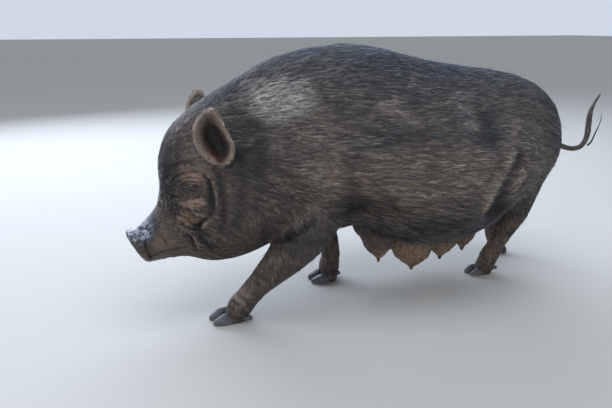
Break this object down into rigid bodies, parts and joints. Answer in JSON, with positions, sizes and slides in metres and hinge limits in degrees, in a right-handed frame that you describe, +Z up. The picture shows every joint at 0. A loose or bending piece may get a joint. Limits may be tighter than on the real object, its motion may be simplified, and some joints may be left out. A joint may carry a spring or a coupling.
{
  "type": "pig, pot-bellied sow, still life-size model",
  "caption": "Still life-size model of a black pot-bellied sow walking with her head low, with bristly hide, hanging udder, cupped ears and a flat snout.",
  "frame": {"origin": "middle of the model's box on the floor, at the level of the soles", "axes": "+Z up; the sow faces -X with her tail towards +X, and her left side, the one seen in the picture, is towards -Y"},
  "size_m": [1.0778, 0.3622, 0.5057],
  "materials": {
    "hide": "dry, dark grey-brown skin under sparse flat black bristles",
    "snout": "bare, moist, blue-black skin",
    "horn": "worn dark grey horn, paler at the edge that wears",
    "eye": "wet and glossy, nearly black brown"
  },
  "bodies": {
    "root": {"snout_disc": "snout", "muzzle": "hide", "head": "hide", "neck": "hide", "shoulders": "hide", "belly": "hide", "rump": "hide", "ear_left": "hide", "ear_right": "hide", "udder_left": "hide", "udder_right": "hide", "eye_left": "eye", "eye_right": "eye", "foreleg_left_upper": "hide", "foreleg_left_lower": "hide", "foreleg_left_outer_claw": "horn", "foreleg_left_inner_claw": "horn", "foreleg_left_outer_dewclaw": "horn", "foreleg_left_inner_dewclaw": "horn", "foreleg_right_upper": "hide", "foreleg_right_lower": "hide", "foreleg_right_outer_claw": "horn", "foreleg_right_inner_claw": "horn", "foreleg_right_outer_dewclaw": "horn", "foreleg_right_inner_dewclaw": "horn", "hindleg_left_upper": "hide", "hindleg_left_lower": "hide", "hindleg_left_outer_claw": "horn", "hindleg_left_inner_claw": "horn", "hindleg_left_outer_dewclaw": "horn", "hindleg_left_inner_dewclaw": "horn", "hindleg_right_upper": "hide", "hindleg_right_lower": "hide", "hindleg_right_outer_claw": "horn", "hindleg_right_inner_claw": "horn", "hindleg_right_outer_dewclaw": "horn", "hindleg_right_inner_dewclaw": "horn", "tail": "hide"}
  },
  "joints": []
}
